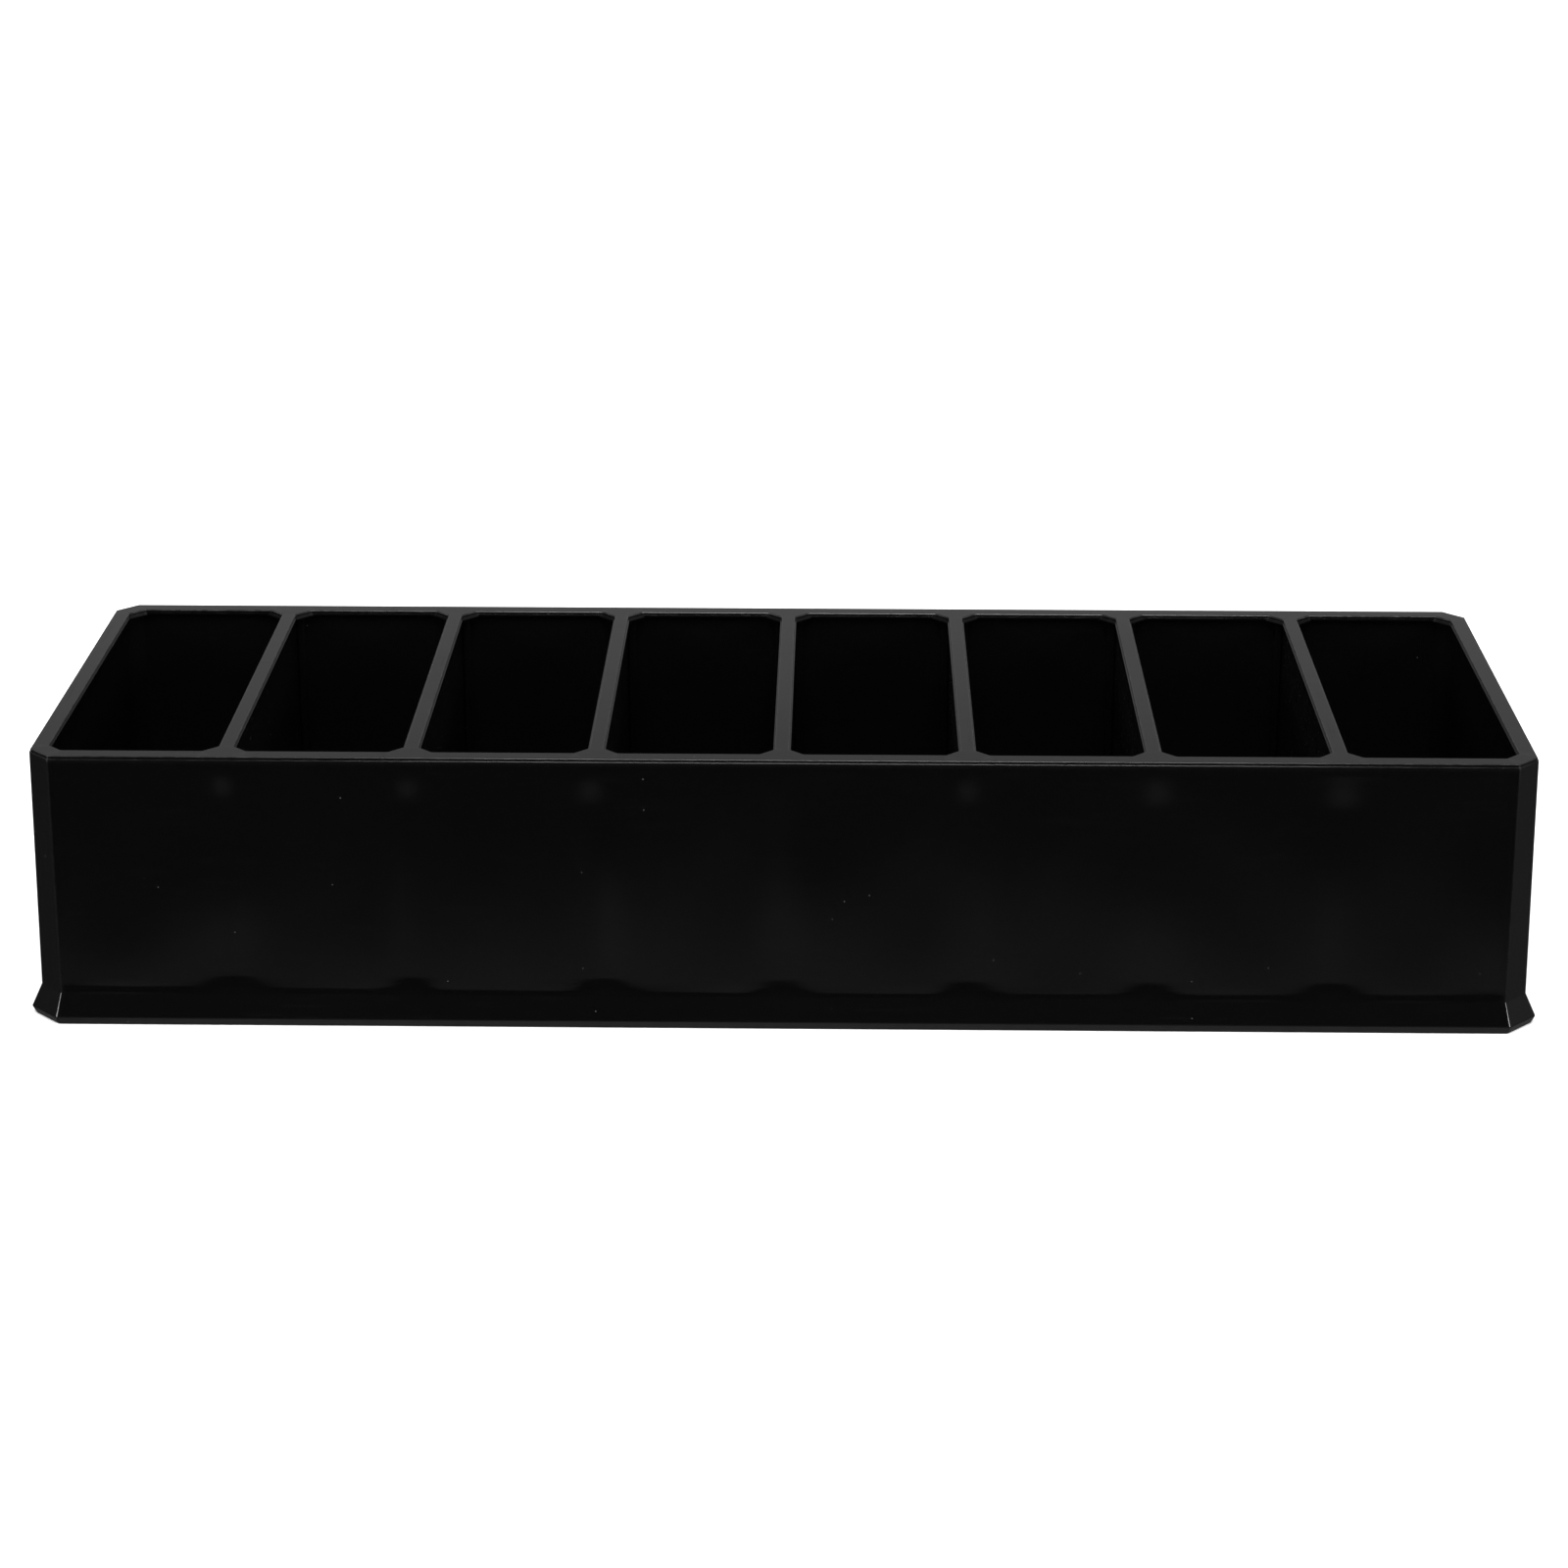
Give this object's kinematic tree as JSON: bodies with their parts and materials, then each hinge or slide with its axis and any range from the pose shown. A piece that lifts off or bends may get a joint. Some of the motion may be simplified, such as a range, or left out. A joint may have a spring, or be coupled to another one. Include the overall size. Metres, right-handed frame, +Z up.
{
  "type": "card tray",
  "caption": "Open-top black plastic card tray with a row of equal cells between upright dividers, cut corners, a thin top frame and a flared skirt that seats on the tray below.",
  "frame": {"origin": "centre of the footprint, on the plane the skirt rests on", "axes": "+X along the row of cells, -Y towards the front wall, +Z up out of the cells"},
  "size_m": [0.3056, 0.1072, 0.0567],
  "materials": {
    "shell_plastic": "glossy moulded black plastic with faint sink marks and light handling haze",
    "frame_plastic": "satin black plastic, a little lighter than the walls under overhead light",
    "inner_plastic": "smooth black plastic inside the cells, slightly duller than the walls"
  },
  "bodies": {
    "root": {"outer_shell": "shell_plastic", "top_frame": "frame_plastic", "floor_panel": "inner_plastic", "divider_1": "inner_plastic", "divider_2": "inner_plastic", "divider_3": "inner_plastic", "divider_4": "inner_plastic", "divider_5": "inner_plastic", "divider_6": "inner_plastic", "divider_7": "inner_plastic"}
  },
  "joints": []
}
